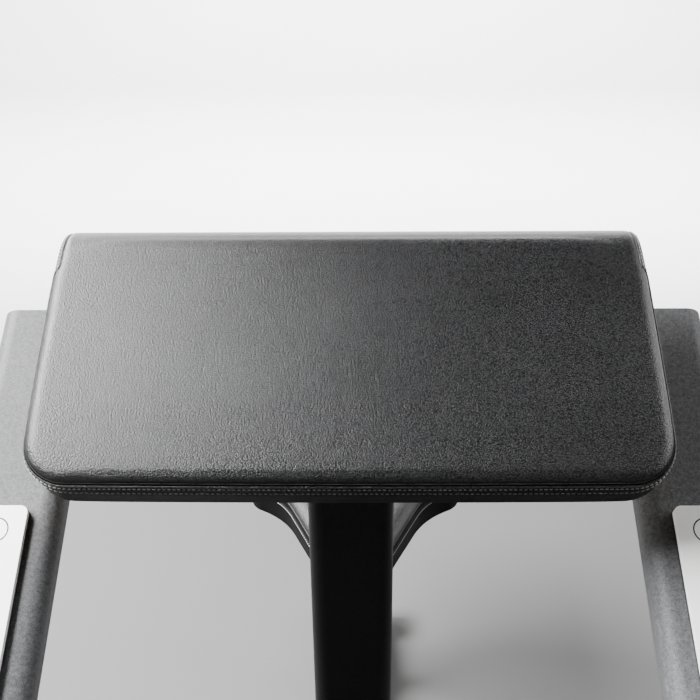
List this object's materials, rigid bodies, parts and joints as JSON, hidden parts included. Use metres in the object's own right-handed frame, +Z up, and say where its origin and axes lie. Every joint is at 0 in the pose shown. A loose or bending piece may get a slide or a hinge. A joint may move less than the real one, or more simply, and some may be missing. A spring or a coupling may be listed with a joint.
{
  "type": "preacher bench",
  "caption": "Bench for arm curls: sloping padded arm rest on a column, side beams with hooks that catch the bar, and a saddle seat that slides up and locks.",
  "frame": {"origin": "on the floor, in the middle of the bench's footprint", "axes": "+Z up, -Y towards the bar and the low edge of the arm pad, +Y towards the seat, X across the bench"},
  "size_m": [0.87, 0.95, 0.9711],
  "materials": {
    "black_vinyl": "fine pebble grain, soft sheen",
    "foam": "dense upholstery foam",
    "plywood": "plain plywood",
    "zinc_steel": "zinc plated",
    "black_coat": "satin black powder coat",
    "charcoal_coat": "fine textured dark grey powder coat",
    "white_plastic": "smooth matt",
    "black_plastic": "fine texture",
    "rubber": "matt",
    "chrome_post": "bright plated"
  },
  "bodies": {
    "frame": {"arm_pad_cover": "black_vinyl", "arm_pad_foam": "foam", "arm_pad_board": "plywood", "arm_pad_inserts": "zinc_steel", "arm_pad_mounting_plate": "black_coat", "arm_pad_washers": "zinc_steel", "arm_pad_screws": "zinc_steel", "column": "black_coat", "floor_spine": "black_coat", "front_cross_foot": "charcoal_coat", "front_foot_end_caps": "black_plastic", "rear_foot": "black_coat", "rear_foot_end_caps": "black_plastic", "front_rubber_feet": "rubber", "rear_rubber_feet": "rubber", "upper_cross_tube": "charcoal_coat", "side_beam_left": "charcoal_coat", "side_beam_right": "charcoal_coat", "side_leg_left": "charcoal_coat", "side_leg_right": "charcoal_coat", "beam_upper_end_caps": "charcoal_coat", "beam_lower_end_caps": "charcoal_coat", "wear_plate_left": "white_plastic", "wear_plate_right": "white_plastic", "wear_plate_screws_left": "zinc_steel", "wear_plate_screws_right": "zinc_steel", "wear_plate_caps_left": "white_plastic", "wear_plate_caps_right": "white_plastic", "bar_hook_left": "charcoal_coat", "bar_hook_right": "charcoal_coat", "hook_liner_left": "white_plastic", "hook_liner_right": "white_plastic", "seat_sleeve": "black_coat", "sleeve_liner": "black_plastic", "sleeve_liner_lip": "black_plastic", "pin_barrel": "zinc_steel", "pin_spring": "zinc_steel"},
    "seat": {"seat_cover": "black_vinyl", "seat_foam": "foam", "seat_board": "plywood", "seat_inserts": "zinc_steel", "seat_mounting_plate": "black_coat", "seat_washers": "zinc_steel", "seat_screws": "zinc_steel", "seat_post": "chrome_post"},
    "pull_pin": {"pin_plunger": "zinc_steel", "pin_knob": "black_plastic"}
  },
  "joints": [
    {"name": "seat_height", "type": "slide", "parent": "frame", "child": "seat", "axis": [0, 0, 1], "range_m": [0, 0.15]},
    {"name": "pin_pull", "type": "slide", "parent": "frame", "child": "pull_pin", "axis": [0, 1, 0], "range_m": [0, 0.012], "stiffness_N_per_m": 1200, "springref_m": -0.008, "deforming": ["pin_spring"]}
  ]
}
